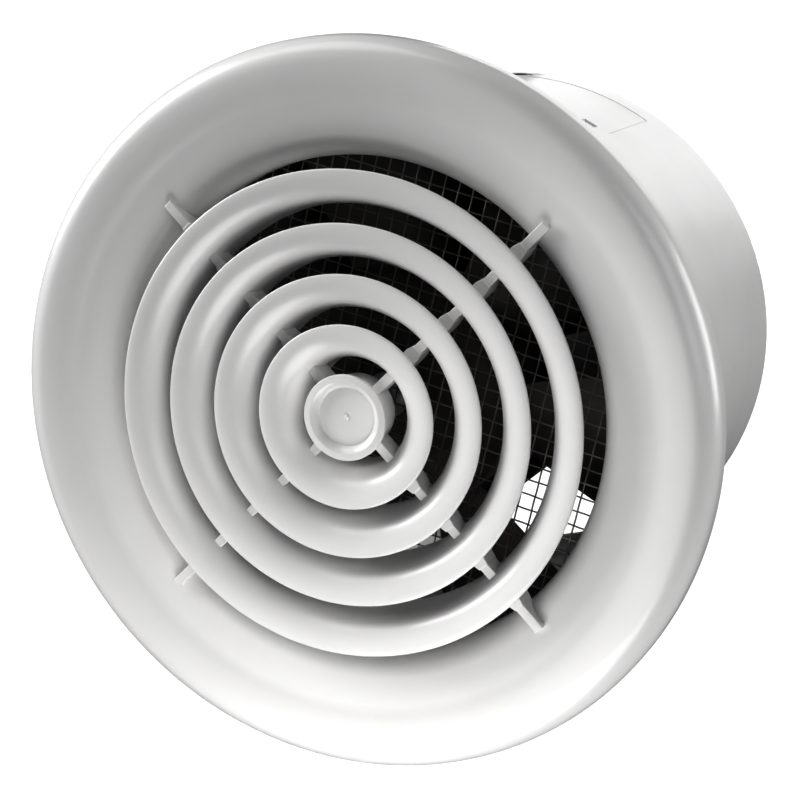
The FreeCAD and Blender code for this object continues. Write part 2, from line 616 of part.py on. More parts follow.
def ball_bearing(end, front):
    """One deep-groove bearing: two races, seven balls and the cage that spaces them."""
    middle = front - d.race_width / 2
    back = front - d.race_width
    outer = new_body(f"{end}_outer_race")
    turned(outer, "Race", [
        (d.race_shoulder_outer, front), (d.race_outer, front), (d.race_outer, back),
        (d.race_shoulder_outer, back), (d.race_shoulder_outer, middle - d.groove_edge),
        (d.race_shoulder_outer, middle + d.groove_edge),
    ], {4: (RIGHT, d.groove_radius)})
    inner = new_body(f"{end}_inner_race")
    bore = d.shaft_radius + d.seat_gap
    turned(inner, "Race", [
        (bore, front), (bore, back), (d.race_shoulder_inner, back),
        (d.race_shoulder_inner, middle - d.groove_edge), (d.race_shoulder_inner, middle + d.groove_edge),
        (d.race_shoulder_inner, front),
    ], {3: (LEFT, d.groove_radius)})
    places = around(d.ball_circle, int(d.ball_count.value))
    balls = [primitive("Sphere", f"{end}_ball_{number}", (x, y, middle), Radius=d.ball_radius)
             for number, (x, y) in enumerate(places)]
    node(f"{end}_balls", *balls)
    cage = new_body(f"{end}_ball_cage")
    low, high = middle - d.cage_width / 2, middle + d.cage_width / 2
    turned(cage, "Band", [
        (d.cage_inner, low), (d.cage_outer, low), (d.cage_outer, high), (d.cage_inner, high)])
    sketch = new_sketch(cage, "PocketOutline", "YZ_Plane", d.cage_outer + 1)
    circle(sketch, 0, middle, d.cage_pocket)
    pocket = extruded(cage, "BallPocket", sketch, d.cage_outer - d.cage_inner + 2, "Pocket")
    ringed(cage, [pocket], d.ball_count, "Pockets")


def motor_fasteners():
    bolt_length = d.bracket_front + d.nut_height + 1.2 - d.rear_shell_back
    corners = around(d.bolt_circle, 4, 45)
    node("motor_bolts", *[
        screw(f"motor_bolt_{number}", (x, y, d.rear_shell_back), d.bolt_radius, d.bolt_head,
              d.bolt_head_height, bolt_length, BACK_TO_FRONT) for number, (x, y) in enumerate(corners)])
    node("motor_nuts", *[
        nut(f"motor_nut_{number}", x, y, d.bracket_front, d.nut_flats, d.bolt_radius + 0.05, d.nut_height)
        for number, (x, y) in enumerate(corners)])
    seats = around(d.boss_circle, 3, -90)
    node("bracket_screws", *[
        screw(f"bracket_screw_{number}", (x, y, d.bracket_back + d.ear_thickness), d.bracket_screw_shank,
              d.bracket_screw_head, d.bracket_screw_head_height, d.bracket_screw_length)
        for number, (x, y) in enumerate(seats)])
    node("preload_washer", tube(
        "WasherRing", d.rear_shell_back + d.end_plate + 0.1, d.rear_bearing_front - d.race_width - 0.1,
        d.race_shoulder_outer - 0.5, d.race_outer - 0.2))


# ---------------------------------------------------------------- impeller

def impeller():
    body = new_body("impeller", d.blade_start.value)
    skin = d.hub_radius - d.hub_wall
    bore = d.shaft_radius + d.seat_gap
    under_face = d.hub_front - d.hub_face
    turned(body, "Hub", [
        (d.thread_radius + 0.15, d.hub_front), (d.hub_radius - d.hub_roll, d.hub_front),
        (d.hub_radius, d.hub_front - d.hub_roll), (d.hub_radius, d.hub_back), (skin, d.hub_back),
        (skin, under_face - 2), (d.hub_boss, under_face - 2), (d.hub_boss, d.hub_boss_back),
        (bore, d.hub_boss_back), (bore, under_face), (d.thread_radius + 0.15, under_face),
    ], {1: (LEFT, d.hub_roll)})
    stations = [
        ("Root", d.blade_root_radius, d.blade_root_chord, d.blade_root_pitch),
        ("Mid", d.blade_mid_radius, d.blade_mid_chord, d.blade_mid_pitch),
        ("End", d.blade_end_radius, d.blade_end_chord, d.blade_end_pitch),
    ]
    sections = [blade_section(body, *station) for station in stations]
    blade = body.newObject("PartDesign::AdditiveLoft", "Blade")
    blade.Profile = sections[0]
    blade.Sections = sections[1:]
    ringed(body, [blade], d.blade_count, "Blades")
    turned(body, "TipTrim", [
        (d.blade_tip, d.hub_front + 10), (d.blade_tip, d.hub_back - 20),
        (d.blade_tip + 30, d.hub_back - 20), (d.blade_tip + 30, d.hub_front + 10)], cut=True)


def blade_section(body, name, radius, chord, pitch):
    """A thin cambered section across a blade, drawn at a radius and pitched to the airflow."""
    sketch = body.newObject("Sketcher::SketchObject", name + "Section")
    sketch.AttachmentSupport = [(origin_item(body, "YZ_Plane"), "")]
    sketch.MapMode = "FlatFace"
    sketch.AttachmentOffset = Placement(Vector(0, d.blade_centre.value, radius.value),
                                        Rotation(Vector(0, 0, 1), pitch.value))
    sketch.setExpression("AttachmentOffset.Base.y", d.blade_centre.text)
    sketch.setExpression("AttachmentOffset.Base.z", radius.text)
    half = chord / 2
    outline(sketch, [(-half, 0), (half, 0)],
            {0: (LEFT, bow_radius(chord, d.blade_face_bow)), 1: (RIGHT, bow_radius(chord, d.blade_back_bow))})
    return sketch


def bow_radius(chord, bow):
    """The radius of an arc over a chord with a given height."""
    return (chord * chord / 4 + bow * bow) / (bow * 2)


def shaft_fittings():
    node("impeller_washer", tube("ShaftWasher", d.hub_front, d.hub_front + d.washer_thickness,
                                 d.thread_radius + 0.05, d.washer_radius))
    node("impeller_nut", nut("ShaftNut", 0, 0, d.hub_front + d.washer_thickness, d.shaft_nut_flats,
                             d.thread_radius + 0.05, d.shaft_nut_height))


# ---------------------------------------------------------------- electrical compartment

def terminal_tray():
    body = new_body("terminal_tray")
    floor, inside = d.tray_floor, d.tray_floor + d.tray_skin
    corner = (d.tray_radius * d.tray_radius - floor * floor).root()
    layer(body, "Trough", d.tray_back, d.tray_front, lambda sketch: outline(
        sketch, [(-corner, floor), (corner, floor)], {1: (RIGHT, d.tray_radius)}))
    half = d.tray_inner_half_width
    layer_cut(body, "Well", d.tray_back + d.tray_skin, d.tray_front - d.tray_end_wall,
              lambda sketch: rectangle(sketch, -half, half, inside, d.tray_radius + 1))

    def posts(sketch):
        for side in (-1, 1):
            centre = d.clamp_screw_x * side
            rectangle(sketch, centre - d.clamp_post, centre + d.clamp_post, floor + 1, d.clamp_post_top)

    layer(body, "Posts", d.clamp_front - d.clamp_length, d.clamp_front, posts)
    small = [*clamp_screw_places(), *strap_screw_places()]
    crown_cut(body, "ScrewHoles", floor - 1, d.clamp_post_top + 1, small, d.small_screw_hole)
    crown_cut(body, "ConduitHole", floor - 1, inside + 1, [(d.conduit_x, d.conduit_z)], d.conduit_hole)
    crown_cut(body, "FixingHoles", floor - 1, d.tray_radius, tray_screw_places(), d.tray_screw_shank + 0.1)


def clamp_screw_places():
    z = d.clamp_front - d.clamp_length / 2
    return [(d.clamp_screw_x, z), (-d.clamp_screw_x, z)]


def strap_screw_places():
    x = d.capacitor_width / 2 + d.strap_thickness + d.strap_foot / 2
    z = d.capacitor_front - d.capacitor_length / 2
    return [(x, z), (-x, z)]


def terminal_cover():
    """A curved lid flush with the casing, with two finger tongues on its front edge."""
    body = new_body("terminal_cover")
    half = d.window_half_width - d.window_gap
    top = (d.lid_radius * d.lid_radius - half * half).root()
    bottom = (d.lid_inner_radius * d.lid_inner_radius - half * half).root()
    layer(body, "Lid", d.window_back + d.window_gap, d.window_front - d.window_gap, lambda sketch: outline(
        sketch, [(half, bottom), (half, top), (-half, top), (-half, bottom)],
        {1: (RIGHT, d.lid_radius), 3: (LEFT, d.lid_inner_radius)}))
    level = (d.lid_radius * d.lid_radius - d.notch_outer * d.notch_outer).root()
    left, right = d.notch_inner + 0.7, d.notch_outer - 0.7

    def tongues(sketch):
        rectangle(sketch, left, right, level - d.tongue_thickness, level)
        rectangle(sketch, -right, -left, level - d.tongue_thickness, level)

    layer(body, "Tongues", d.window_front - 3, d.window_front + d.tongue_depth, tongues)


def terminal_block():
    body = new_body("terminal_block")
    floor = d.tray_floor + d.tray_skin
    back = d.block_front - d.block_length
    half = d.block_width / 2
    layer(body, "Moulding", back, d.block_front,
          lambda sketch: rectangle(sketch, -half, half, floor, floor + d.block_height))

    def bores(sketch):
        for way in (-1, 0, 1):
            circle(sketch, d.block_pitch * way, floor + d.block_bore + 1.6, d.block_bore)

    layer_cut(body, "WireBores", back, d.block_front, bores)
    crown_cut(body, "ScrewWells", floor + d.block_bore * 2 + 1, floor + d.block_height + 1,
              block_screw_places(), d.block_screw + 0.1)
    node("terminal_screws", *[
        screw(f"terminal_screw_{number}", (x, floor + d.block_height - 1.6, z), d.block_screw * 0.8,
              d.block_screw, d.block_screw, d.block_screw * 2, UPWARD)
        for number, (x, z) in enumerate(block_screw_places())])


def block_screw_places():
    quarter = d.block_length / 4
    return [(d.block_pitch * way, d.block_front - quarter * row) for way in (-1, 0, 1) for row in (1, 3)]


def capacitor():
    body = new_body("run_capacitor")
    floor = d.tray_floor + d.tray_skin
    back = d.capacitor_front - d.capacitor_length
    half = d.capacitor_width / 2
    block = layer(body, "Block", back, d.capacitor_front,
                  lambda sketch: rectangle(sketch, -half, half, floor, floor + d.capacitor_height))
    doc.recompute()
    edges = body.newObject("PartDesign::Fillet", "Edges")
    edges.Base = (block, [f"Edge{number + 1}" for number in range(len(block.Shape.Edges))])
    edges.Radius = 1
    strap = new_body("capacitor_strap")
    inner, outer = half + 0.1, half + d.strap_thickness
    crest = floor + d.capacitor_height + 0.1
    foot = outer + d.strap_foot
    step, top = floor + d.strap_thickness, crest + d.strap_thickness
    middle = d.capacitor_front - d.capacitor_length / 2
    layer(strap, "Band", middle - d.strap_width / 2, middle + d.strap_width / 2, lambda sketch: outline(
        sketch, [(-foot, floor), (-inner, floor), (-inner, crest), (inner, crest), (inner, floor),
                 (foot, floor), (foot, step), (outer, step), (outer, top), (-outer, top), (-outer, step),
                 (-foot, step)]))
    crown_cut(strap, "FootHoles", floor - 1, step + 1, strap_screw_places(), d.small_screw_hole)
    node("strap_screws", *[
        small_screw(f"strap_screw_{number}", x, step, z, d.strap_thickness + d.tray_skin)
        for number, (x, z) in enumerate(strap_screw_places())])


def small_screw(name, x, y, z, length):
    return screw(name, (x, y, z), d.small_screw, d.small_screw_head, d.small_screw_head_height,
                 length, UPWARD)


def cable_clamp():
    body = new_body("cable_clamp")
    half = d.clamp_width / 2
    top = d.clamp_post_top + d.clamp_height
    layer(body, "Bar", d.clamp_front - d.clamp_length, d.clamp_front,
          lambda sketch: rectangle(sketch, -half, half, d.clamp_post_top, top))
    layer_cut(body, "Saddle", d.clamp_front - d.clamp_length, d.clamp_front,
              lambda sketch: circle(sketch, 0, d.clamp_post_top - 1, d.grommet_bore))
    crown_cut(body, "ClampHoles", d.clamp_post_top - 1, top + 1, clamp_screw_places(), d.small_screw_hole)
    node("clamp_screws", *[
        small_screw(f"clamp_screw_{number}", x, top, z, top - d.tray_floor - 0.5)
        for number, (x, z) in enumerate(clamp_screw_places())])


def cable_grommet():
    """A flush rubber grommet in the crown of the casing, where the supply cable enters."""
    z = d.grommet_z
    flange = primitive("Cylinder", "GrommetFlange", (0, d.grommet_seat, z), UPWARD,
                       Radius=d.grommet_flange, Height=d.grommet_face - d.grommet_seat)
    neck = primitive("Cylinder", "GrommetNeck", (0, d.grommet_inner, z), UPWARD,
                     Radius=d.grommet_neck, Height=d.grommet_face - d.grommet_inner)
    lip = primitive("Cylinder", "GrommetLip", (0, d.grommet_inner, z), UPWARD,
                    Radius=d.grommet_flange - 0.5, Height=d.grommet_lip - d.grommet_inner)
    bore = primitive("Cylinder", "GrommetBore", (0, d.grommet_inner, z), UPWARD,
                     Radius=d.grommet_bore, Height=d.grommet_face - d.grommet_inner)
    node("cable_grommet", cut("Grommet", fused("GrommetSolid", [flange, neck, lip]), bore))


def lead_conduit():
    """The upright tube that carries the motor's wires up to the tray."""
    length = d.conduit_top - d.conduit_foot
    wall = primitive("Cylinder", "ConduitWall", Radius=d.conduit_radius, Height=length)
    bore = primitive("Cylinder", "ConduitBore", Radius=d.conduit_bore, Height=length)
    place = (d.conduit_x, d.conduit_foot, d.conduit_z)
    node("lead_conduit", moved(cut("Conduit", wall, bore), place, UPWARD))


def tray_screws():
    node("tray_screws", *[
        screw(f"tray_screw_{number}", (x, d.tray_screw_seat, z), d.tray_screw_shank, d.tray_screw_head,
              d.tray_screw_top - d.tray_screw_seat, d.tray_screw_seat - d.tray_screw_tip, UPWARD)
        for number, (x, z) in enumerate(tray_screw_places())])


# ---------------------------------------------------------------- build, check and write

def build():
    bell_mouth()
    ring_grille()
    insect_screen()
    inlet_rings()
    duct_casing()
    motor_bracket()
    motor_shells()
    stator_core()
    stator_coils()
    rotor()
    ball_bearing("front", d.front_bearing_front)
    ball_bearing("rear", d.rear_bearing_front)
    motor_fasteners()
    impeller()
    shaft_fittings()
    terminal_tray()
    terminal_cover()
    terminal_block()
    capacitor()
    cable_clamp()
    cable_grommet()
    lead_conduit()
    tray_screws()
    doc.recompute()


def check():
    """Stop if any object failed or any sub-part is empty or not valid."""
    failed = [item.Name for item in doc.Objects if {"Invalid", "Error"} & set(item.State)]
    if failed:
        raise RuntimeError(f"failed objects: {failed}")
    for item in sub_parts:
        if item.Shape.isNull() or not item.Shape.isValid() or not item.Shape.Solids:
            raise RuntimeError(f"{item.Label} has no valid shape")


def write():
    os.makedirs("parts", exist_ok=True)
    for item in sub_parts:
        item.Shape.exportStep(f"parts/{item.Label}.step")
        box = item.Shape.BoundBox
        print(f"{item.Label:20s} solids {len(item.Shape.Solids):2d} volume {item.Shape.Volume:10.1f} "
              f"x {box.XMin:7.1f} {box.XMax:7.1f} y {box.YMin:7.1f} {box.YMax:7.1f} "
              f"z {box.ZMin:7.1f} {box.ZMax:7.1f}")


build()
check()
write()
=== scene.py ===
import json
import math

import bmesh
import bpy
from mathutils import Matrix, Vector


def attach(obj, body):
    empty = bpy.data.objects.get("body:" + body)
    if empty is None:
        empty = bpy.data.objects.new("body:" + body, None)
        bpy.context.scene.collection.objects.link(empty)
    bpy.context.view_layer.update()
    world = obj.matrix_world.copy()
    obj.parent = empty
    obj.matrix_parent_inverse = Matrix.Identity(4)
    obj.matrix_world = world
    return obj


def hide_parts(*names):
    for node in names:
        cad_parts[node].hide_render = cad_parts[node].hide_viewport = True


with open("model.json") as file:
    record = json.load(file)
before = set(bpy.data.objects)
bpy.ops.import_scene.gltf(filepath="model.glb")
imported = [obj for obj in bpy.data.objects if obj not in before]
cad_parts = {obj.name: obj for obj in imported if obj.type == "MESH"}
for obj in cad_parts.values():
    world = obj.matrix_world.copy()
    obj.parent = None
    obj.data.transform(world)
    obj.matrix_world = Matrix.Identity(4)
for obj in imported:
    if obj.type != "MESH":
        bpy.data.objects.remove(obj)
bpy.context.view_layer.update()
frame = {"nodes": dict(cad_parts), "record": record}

# The scene is in metres: the fan axis is Y, the room is on the -Y side and Z is up.
# Profiles are in millimetres, as (radius, height): the height is the distance in front of the wall plane.
MM = 0.001
RING_SEGMENTS = 256


# ---------------------------------------------------------------- outlines

def arc_points(start, end, radius, side, steps):
    """Points after start on the short arc to end, bulging left (side 1) or right (side -1)."""
    start, end = Vector(start), Vector(end)
    way = end - start
    left = Vector((-way.y, way.x)).normalized()
    centre = (start + end) / 2 - left * side * math.sqrt(max(radius ** 2 - (way.length / 2) ** 2, 0))
    first = math.atan2(*(start - centre).yx)
    turn = math.atan2(*(end - centre).yx) - first
    turn = (turn + math.pi) % (2 * math.pi) - math.pi
    angles = [first + turn * step / steps for step in range(1, steps)]
    return [centre + Vector((math.cos(angle), math.sin(angle))) * radius for angle in angles]


LEFT, RIGHT = 1, -1


def path(points, arcs=None, steps=14):
    """The outline through the points; arcs maps the number of a point to the side and radius after it."""
    arcs = arcs or {}
    line = []
    for index, point in enumerate(points):
        line.append(Vector(point))
        if index in arcs:
            side, radius = arcs[index]
            line += arc_points(point, points[(index + 1) % len(points)], radius, side, steps)
    return line


def eased(line, radius, closed=True, sharp=25, steps=3):
    """Round every corner of an outline that turns by more than sharp degrees."""
    result = []
    count = len(line)
    for index, corner in enumerate(line):
        ends = not closed and index in (0, count - 1)
        before, after = line[index - 1], line[(index + 1) % count]
        turn = 0 if ends else math.degrees((corner - before).angle(after - corner, 0))
        if turn < sharp:
            result.append(corner)
            continue
        reach = min(radius * math.tan(math.radians(turn / 2)),
                    (corner - before).length * 0.45, (after - corner).length * 0.45)
        start = corner + (before - corner).normalized() * reach
        end = corner + (after - corner).normalized() * reach
        for step in range(steps + 1):
            part = step / steps
            result.append(start.lerp(corner, part).lerp(corner.lerp(end, part), part))
    return result


# ---------------------------------------------------------------- meshes

def finished(name, mesh, body, slot_name, replaced=()):
    """Turn a bmesh into a smooth piece that rides on a body."""
    bmesh.ops.remove_doubles(mesh, verts=mesh.verts, dist=1e-6)
    bmesh.ops.recalc_face_normals(mesh, faces=mesh.faces)
    data = bpy.data.meshes.new(name)
    mesh.to_mesh(data)
    mesh.free()
    data.shade_smooth()
    piece = bpy.data.objects.new(name, data)
    bpy.context.scene.collection.objects.link(piece)
    data.materials.append(materials[slot_name])
    even = piece.modifiers.new("EvenNormals", "WEIGHTED_NORMAL")
    even.keep_sharp = True
    even.weight = 60
    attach(piece, body)
    if replaced:
        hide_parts(*replaced)


def spun(mesh, line, segments, closed=True):
    """Add a full turn of an outline about the fan axis."""
    rings = []
    for step in range(segments):
        angle = 2 * math.pi * step / segments
        rings.append([mesh.verts.new((p.x * math.cos(angle), -p.y, p.x * math.sin(angle))) for p in line])
    last = len(line) if closed else len(line) - 1
    for step, ring in enumerate(rings):
        following = rings[(step + 1) % segments]
        for index in range(last):
            other = (index + 1) % len(line)
            if line[index].x < 1e-7 and line[other].x < 1e-7:
                continue
            mesh.faces.new((ring[index], ring[other], following[other], following[index]))


def slab(mesh, line, thickness, place, bevel=0.00025):
    """Add an outline given a thickness across it; place maps (u, v, across) to a point."""
    local = bmesh.new()
    faces = []
    for across in (-thickness / 2, thickness / 2):
        faces.append(local.faces.new([local.verts.new((p.x, p.y, across)) for p in line]))
    low, high = (list(face.verts) for face in faces)
    for index in range(len(line)):
        other = (index + 1) % len(line)
        local.faces.new((low[index], low[other], high[other], high[index]))
    bmesh.ops.recalc_face_normals(local, faces=local.faces)
    edges = [edge for edge in local.edges if edge.calc_face_angle(0) > math.radians(30)]
    bmesh.ops.bevel(local, geom=edges, offset=bevel, segments=2, affect="EDGES", profile=0.5)
    copies = {vertex: mesh.verts.new(place(*vertex.co)) for vertex in local.verts}
    for face in local.faces:
        mesh.faces.new([copies[vertex] for vertex in face.verts])
    local.free()


def spoke(degrees):
    """A place function for outlines of (radius, height) that stand at an angle about the axis."""
    angle = math.radians(degrees)
    outwards = Vector((math.cos(angle), 0, math.sin(angle)))
    across = Vector((-math.sin(angle), 0, math.cos(angle)))
    return lambda radius, height, side: outwards * radius + across * side + Vector((0, -height, 0))


def spoke_flat(degrees):
    """A place function for outlines of (radius, side) whose thickness runs along the axis."""
    place = spoke(degrees)
    return lambda radius, side, height: place(radius, height, side)


def rectangle(inner, outer, first, last):
    """A rectangular outline between two radii and two heights."""
    return [(inner, first), (outer, first), (outer, last), (inner, last)]


def scaled(points):
    """The same points, from millimetres to metres."""
    return [(x * MM, y * MM) for x, y in points]


# ---------------------------------------------------------------- materials

materials = {}


class Nodes:
    """A small helper that builds one material's node tree over the fan's own coordinates."""

    def __init__(self, slot_name, roughness, metallic=0.0):
        self.material = bpy.data.materials.new(slot_name)
        self.material.use_nodes = True
        self.tree = self.material.node_tree
        self.shader = self.tree.nodes["Principled BSDF"]
        self.shader.inputs["Roughness"].default_value = roughness
        self.shader.inputs["Metallic"].default_value = metallic
        self.place = self.tree.nodes.new("ShaderNodeTexCoord").outputs["Object"]
        materials[slot_name] = self.material

    def add(self, kind, settings=None, **links):
        node = self.tree.nodes.new(kind)
        for name, value in (settings or {}).items():
            if name in node.inputs:
                node.inputs[name].default_value = value
            else:
                setattr(node, name, value)
        for name, link in links.items():
            self.tree.links.new(link, node.inputs[name])
        return node

    def stretched(self, x, y, z):
        return self.add("ShaderNodeMapping", {"Scale": (x, y, z)}, Vector=self.place).outputs["Vector"]

    def noise(self, scale, detail=4, vector=None):
        settings = {"Scale": scale, "Detail": detail, "Roughness": 0.55}
        return self.add("ShaderNodeTexNoise", settings, Vector=vector or self.place).outputs["Fac"]

    def bands(self, scale, direction="Y", kind="BANDS", distortion=0.0):
        settings = {"Scale": scale, "Distortion": distortion, "wave_type": kind}
        settings["rings_direction" if kind == "RINGS" else "bands_direction"] = direction
        return self.add("ShaderNodeTexWave", settings, Vector=self.place).outputs["Fac"]

    def shades(self, factor, low, high, low_at=0.3, high_at=0.7):
        """Colour the surface between two shades by a factor."""
        ramp = self.add("ShaderNodeValToRGB", Fac=factor)
        first, last = ramp.color_ramp.elements
        first.position, last.position = low_at, high_at
        first.color, last.color = (*low, 1), (*high, 1)
        self.tree.links.new(ramp.outputs["Color"], self.shader.inputs["Base Color"])

    def rough(self, factor, low, high):
        spread = self.add("ShaderNodeMapRange", {"To Min": low, "To Max": high}, Value=factor)
        self.tree.links.new(spread.outputs["Result"], self.shader.inputs["Roughness"])

    def relief(self, factor, depth, strength=1.0, under=None):
        settings = {"Strength": strength, "Distance": depth}
        bump = self.add("ShaderNodeBump", settings, Height=factor)
        if under:
            self.tree.links.new(under.outputs["Normal"], bump.inputs["Normal"])
        self.tree.links.new(bump.outputs["Normal"], self.shader.inputs["Normal"])
        return bump

    def constant(self, **values):
        for name, value in values.items():
            self.shader.inputs[name.replace("_", " ")].default_value = value


def tinted(colour, amount):
    return tuple(min(1, channel * amount) for channel in colour)


def moulded(slot_name, colour, roughness, grain, depth, coat=0.0):
    """Injection-moulded plastic: a fine spark-eroded grain, faint flow marks, uneven gloss."""
    nodes = Nodes(slot_name, roughness)
    flow = nodes.noise(14, 3, nodes.stretched(1, 2.5, 1))
    nodes.shades(flow, tinted(colour, 0.965), tinted(colour, 1.02))
    nodes.rough(nodes.noise(60, 5), roughness - 0.05, roughness + 0.07)
    waviness = nodes.relief(nodes.noise(45, 2), 0.00018, 0.5)
    nodes.relief(nodes.noise(grain, 2), depth, 0.6, under=waviness)
    nodes.constant(Coat_Weight=coat, Coat_Roughness=0.12, IOR=1.5)


def drawn_steel(slot_name, colour, roughness, direction="Y"):
    """Turned or drawn metal: fine circular lines about the fan axis and soft cloudy staining."""
    nodes = Nodes(slot_name, roughness, metallic=1.0)
    lines = nodes.noise(9, 6, nodes.stretched(4, 260, 4))
    nodes.shades(nodes.noise(35, 4), tinted(colour, 0.86), tinted(colour, 1.06))
    nodes.rough(lines, roughness - 0.08, roughness + 0.12)
    rings = nodes.relief(nodes.bands(420, direction, "RINGS", 0.6), 0.00002, 0.35)
    nodes.relief(lines, 0.00004, 0.3, under=rings)


def plated(slot_name, colour, roughness, speckle=900):
    """Plated or polished small parts: bright metal with a slight crystalline speckle."""
    nodes = Nodes(slot_name, roughness, metallic=1.0)
    nodes.shades(nodes.noise(speckle, 3), tinted(colour, 0.82), tinted(colour, 1.05))
    nodes.rough(nodes.noise(400, 4), roughness - 0.05, roughness + 0.1)
    nodes.relief(nodes.noise(speckle * 1.6, 2), 0.00002, 0.3)


def layered(slot_name, light, dark, pitch, direction, metallic, roughness):
    """Stacked laminations or wound wire: repeated lines at a real pitch."""
    nodes = Nodes(slot_name, roughness, metallic)
    lines = nodes.bands(0.314 / pitch / 2, direction, distortion=0.15)
    nodes.shades(lines, dark, light, 0.15, 0.6)
    cloud = nodes.relief(nodes.noise(220, 3), 0.00003, 0.4)
    nodes.relief(lines, pitch * 0.3, 0.8, under=cloud)


def rubber(slot_name, colour):
    """Closed-cell foam and soft rubber: dull, with small open pores."""
    nodes = Nodes(slot_name, 0.85)
    pores = nodes.add("ShaderNodeTexVoronoi", {"Scale": 900.0}, Vector=nodes.place).outputs["Distance"]
    nodes.shades(pores, tinted(colour, 0.7), tinted(colour, 1.5), 0.0, 0.6)
    nodes.relief(pores, 0.0002, 0.7)
    nodes.constant(Sheen_Weight=0.2, Sheen_Roughness=0.5)


moulded("white_abs", (0.82, 0.815, 0.812), 0.32, 2600, 0.00002, coat=0.25)
# dark_abs and dark_polymer: near-black plastics for the fan's inner parts; the near-black is partly their own
# colour and partly painted shade of the dim duct interior.
moulded("dark_abs", (0.055, 0.048, 0.045), 0.45, 2200, 0.00005)
moulded("dark_polymer", (0.022, 0.022, 0.024), 0.55, 2600, 0.00004)
moulded("capacitor_case", (0.66, 0.62, 0.5), 0.42, 2400, 0.00003)
drawn_steel("steel_sheet", (0.55, 0.56, 0.58), 0.32)
plated("zinc_steel", (0.6, 0.61, 0.62), 0.3)
plated("bearing_steel", (0.66, 0.66, 0.68), 0.12, 1500)
plated("brass_terminal", (0.7, 0.5, 0.2), 0.28)
# mesh_steel: the woven wire is dulled to a dark brownish grey, partly its own colour and partly painted shade
# of the dim throat it sits in.
plated("mesh_steel", (0.28, 0.26, 0.24), 0.45, 1200)
layered("lamination", (0.09, 0.095, 0.11), (0.02, 0.02, 0.025), 0.0005, "Y", 0.4, 0.42)
layered("copper_wire", (0.55, 0.17, 0.05), (0.12, 0.03, 0.01), 0.0006, "Y", 0.85, 0.3)
layered("cast_rotor", (0.5, 0.51, 0.53), (0.2, 0.2, 0.21), 0.0005, "Y", 0.9, 0.38)
rubber("seal_rubber", (0.025, 0.025, 0.026))

for entry in frame["record"]["subparts"]:
    node = frame["nodes"][entry["node"]]
    for holder in node.material_slots:
        holder.material = materials[entry["material_slot"]]


# ---------------------------------------------------------------- bell mouth

RIM_RADIUS, RIM_INNER, RIM_SIDE = 125, 122.6, 4.6
CREST_RADIUS, CREST_FRONT, CREST_BACK = 117, 12.6, 10.2
DISH_FRONT = [(106, 10.15), (102.5, 9.05)]
DISH_BACK = [(102.5, 6.65), (107, 7.98)]
LIP_RADIUS, LIP_FRONT = 92.85, 7.46
THROAT_INNER, THROAT_OUTER, THROAT_FRONT, THROAT_BACK = 85.4, 87.8, -1.4, -8
SLEEVE_INNER, SLEEVE_OUTER, SLEEVE_INNER_ROOT, SLEEVE_OUTER_ROOT, SLEEVE_BACK = 94.4, 96.7, 5.2, 5.7, -20
HOOK_OUTLINE, HOOK_WIDTH = [(95.5, -18), (98.6, -18), (97.2, -14), (95.5, -14)], 12


def bell_mouth():
    """The moulded inlet: an outer roll, a shallow dish, a lip that turns down into the throat, four hooks."""
    points = scaled([
        (RIM_RADIUS, 0), (RIM_RADIUS, RIM_SIDE), (CREST_RADIUS, CREST_FRONT), *DISH_FRONT,
        (LIP_RADIUS, LIP_FRONT), (THROAT_INNER, THROAT_FRONT), (THROAT_INNER, THROAT_BACK),
        (THROAT_OUTER, THROAT_BACK), (THROAT_OUTER, THROAT_FRONT), (SLEEVE_INNER, SLEEVE_INNER_ROOT),
        (SLEEVE_INNER, SLEEVE_BACK), (SLEEVE_OUTER, SLEEVE_BACK), (SLEEVE_OUTER, SLEEVE_OUTER_ROOT),
        *DISH_BACK, (CREST_RADIUS, CREST_BACK), (RIM_INNER, RIM_SIDE), (RIM_INNER, 0),
    ])
    arcs = {1: (RIGHT, 8 * MM), 2: (RIGHT, 26 * MM), 3: (LEFT, 14 * MM), 5: (RIGHT, 9 * MM),
            9: (LEFT, 6.6 * MM), 16: (LEFT, 5.6 * MM)}
    mesh = bmesh.new()
    spun(mesh, eased(path(points, arcs), 0.4 * MM, sharp=12), RING_SEGMENTS)
    for quarter in range(4):
        slab(mesh, path(scaled(HOOK_OUTLINE)), HOOK_WIDTH * MM, spoke(90 * quarter))
    finished("bell_mouth_shell", mesh, "casing", "white_abs", ["bell_mouth"])


# ---------------------------------------------------------------- grille

RING_RADII = (82.65, 65.0, 48.2, 31.4)
RING_FRONT, RING_BACK, RIDGE, RING_LAND = 16.0, -6.0, 0.2, 1.3
VANE_WALL, VANE_ROLL, DRAFT = 1.5, 11.2, 0.7
EDGE_ROUND = 0.7
STRUT_ROOT, STRUT_TIP, STRUT_BACK, STRUT_FRONT, STRUT_WIDTH = 11.8, 95, 2.0, 10.5, 3.4
SEAT_RADIUS, SEAT_ARC, SEAT_HEIGHT, TIP_HEIGHT = 85.7, 9.35, 7.8, 8.2
LEG_INNER, LEG_OUTER, LEG_BACK, LEG_FRONT = 90.6, 93, -4, 9
GUSSET_FRONT, GUSSET_ROOT, GUSSET_BEND, GUSSET_TIP = 10.9, -8.3, -0.5, 2.3
GUSSET_HALF_WIDTH, GUSSET_TIP_HALF_WIDTH = 2.6, 1.9
BUTTON_SCAR = [(0, 14.3), (0.45, 14.45), (0.9, 14.2), (1.0, 13.9)]
BUTTON_FLOOR_RADIUS, BUTTON_FLOOR, BUTTON_UNDERSIDE = 10, 13.9, 12.4
BUTTON_RIDGE, BUTTON_RADIUS, BUTTON_RIM_BACK = (12.4, 16.35), 14.66, 14.5
STEM_INNER, STEM_OUTER, BUTTON_SEGMENTS = 11, 12.6, 96


